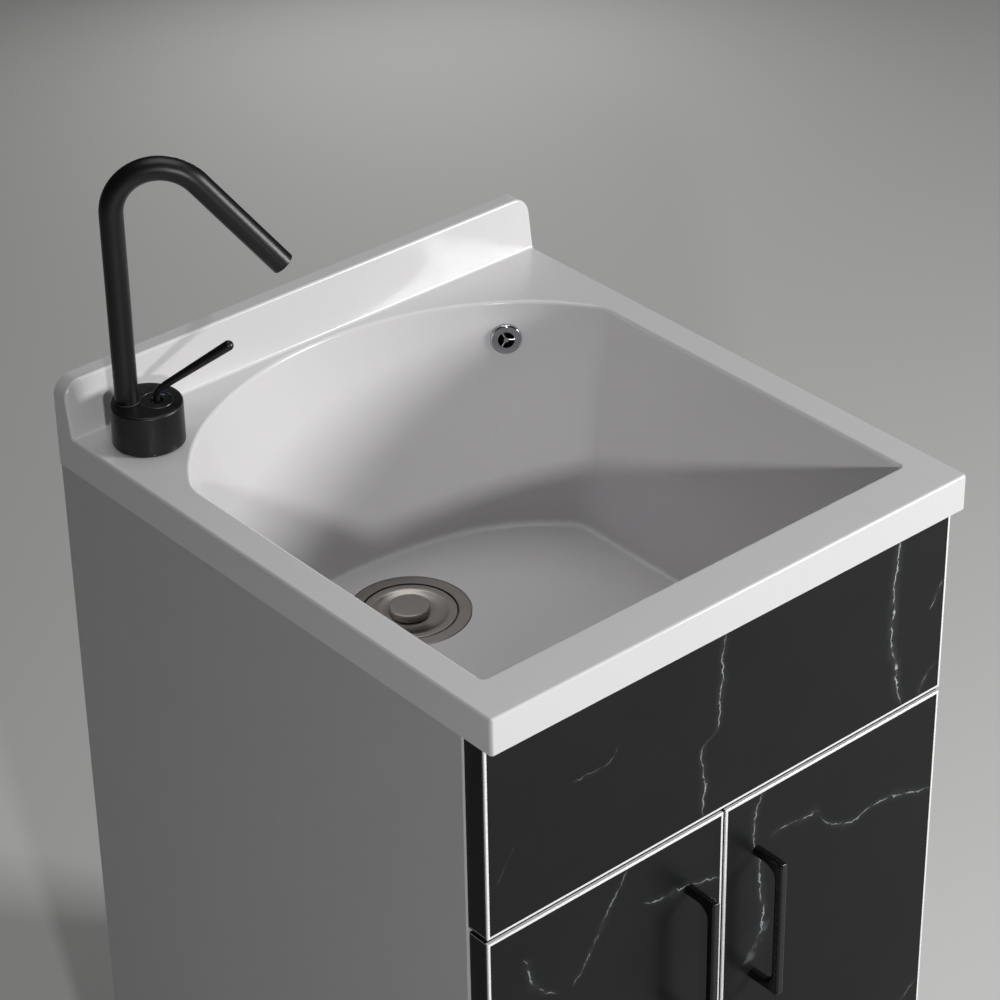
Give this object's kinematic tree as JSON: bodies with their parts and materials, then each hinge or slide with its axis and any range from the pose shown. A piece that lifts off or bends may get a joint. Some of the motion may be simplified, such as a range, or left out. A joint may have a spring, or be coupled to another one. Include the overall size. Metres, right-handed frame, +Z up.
{
  "type": "utility laundry sink with cabinet",
  "caption": "Compact laundry sink: a glossy white top with a deep arched bowl and back upstand on a black marble-look cabinet, with a black swivel-spout mixer and a basket strainer.",
  "frame": {"origin": "on the floor, under the middle of the overall width and depth", "axes": "+X to the right seen from the front, +Y to the wall behind, +Z up"},
  "size_m": [0.5, 0.565, 1.0896],
  "materials": {
    "glazed_white": "high-gloss white glaze",
    "sealant": "white silicone bead",
    "board": "faced particle board, light grey inside face",
    "black_marble": "semi-gloss black marble-look laminate with thin pale veins",
    "bright_trim": "bright brushed edge profile",
    "zinc": "bright zinc-plated steel",
    "panel_grey": "smooth satin melamine-faced board",
    "black_plastic": "matt black nylon",
    "black_tap": "fine-grained matt black coat over brass",
    "cartridge": "grey engineering plastic",
    "rubber_black": "matt black rubber",
    "brass": "machined brass",
    "copper": "bare drawn copper pipe, the colour of copper rather than brass",
    "steel": "brushed stainless steel",
    "white_plastic": "satin white polypropylene",
    "chrome": "polished chrome",
    "black_metal": "satin black powder coat",
    "bumper_clear": "soft translucent dots"
  },
  "bodies": {
    "cabinet": {"basin_top": "glazed_white", "sealant_bead": "sealant", "base_panel": "board", "back_panel": "board", "rear_rail": "board", "front_rail": "board", "fascia_panel": "black_marble", "fascia_trim": "bright_trim", "fascia_brackets": "zinc", "side_panel_left": "panel_grey", "side_panel_right": "panel_grey", "foot_legs": "black_plastic", "foot_studs": "zinc", "foot_pads": "black_plastic", "tap_body": "black_tap", "tap_cap": "black_tap", "tap_cartridge": "cartridge", "tap_gasket": "rubber_black", "tap_shank": "brass", "tap_washer": "zinc", "tap_nut": "brass", "supply_tails": "copper", "tail_nuts": "brass", "spout_bush": "cartridge", "strainer_body": "steel", "strainer_gasket": "rubber_black", "strainer_nut": "white_plastic", "tailpiece": "white_plastic", "tailpiece_nut": "white_plastic", "trap_head": "white_plastic", "trap_nut": "white_plastic", "trap_cup": "white_plastic", "waste_arm": "white_plastic", "waste_arm_nut": "white_plastic", "overflow_ring": "chrome", "overflow_elbow": "white_plastic", "overflow_pipe": "white_plastic", "hinge_arms_left": "zinc", "hinge_arms_right": "zinc"},
    "door_left": {"door_panel_left": "black_marble", "door_trim_left": "bright_trim", "handle_left": "black_metal", "handle_screws_left": "zinc", "door_bumpers_left": "bumper_clear", "hinge_cups_left": "zinc"},
    "door_right": {"door_panel_right": "black_marble", "door_trim_right": "bright_trim", "handle_right": "black_metal", "handle_screws_right": "zinc", "door_bumpers_right": "bumper_clear", "hinge_cups_right": "zinc"},
    "spout_arm": {"spout": "black_tap", "spout_aerator": "black_plastic"},
    "mixer_turret": {"tap_turret": "brass"},
    "lever": {"tap_lever": "black_tap"},
    "basket": {"strainer_basket": "steel"},
    "plug": {"plug_post": "steel", "plug_seal": "rubber_black"},
    "cover": {"cover_plate": "steel", "cover_knob": "steel"}
  },
  "joints": [
    {"name": "door_left_hinge", "type": "hinge", "parent": "cabinet", "child": "door_left", "pos_m": [-0.247, -0.2295, 0.36], "axis": [0, 0, -1], "range_deg": [0, 105]},
    {"name": "door_right_hinge", "type": "hinge", "parent": "cabinet", "child": "door_right", "pos_m": [0.247, -0.2295, 0.36], "axis": [0, 0, 1], "range_deg": [0, 105]},
    {"name": "spout_swivel", "type": "hinge", "parent": "cabinet", "child": "spout_arm", "pos_m": [-0.21471, 0.22914, 0.9], "axis": [0, 0, 1], "range_deg": [-60, 60]},
    {"name": "lever_turn", "type": "hinge", "parent": "cabinet", "child": "mixer_turret", "pos_m": [-0.19572, 0.2143, 0.866], "axis": [0, 0, 1], "range_deg": [-45, 45]},
    {"name": "lever_tilt", "type": "hinge", "parent": "mixer_turret", "child": "lever", "pos_m": [-0.19572, 0.2143, 0.866], "axis": [-0.6157, -0.788, 0], "range_deg": [0, 20]},
    {"name": "basket_lift", "type": "slide", "parent": "cabinet", "child": "basket", "axis": [0, 0, 1], "range_m": [0, 0.26]},
    {"name": "plug_drop", "type": "slide", "parent": "basket", "child": "plug", "axis": [0, 0, -1], "range_m": [0, 0.008]},
    {"name": "cover_lift", "type": "slide", "parent": "basket", "child": "cover", "axis": [0, 0, 1], "range_m": [0, 0.05]}
  ]
}
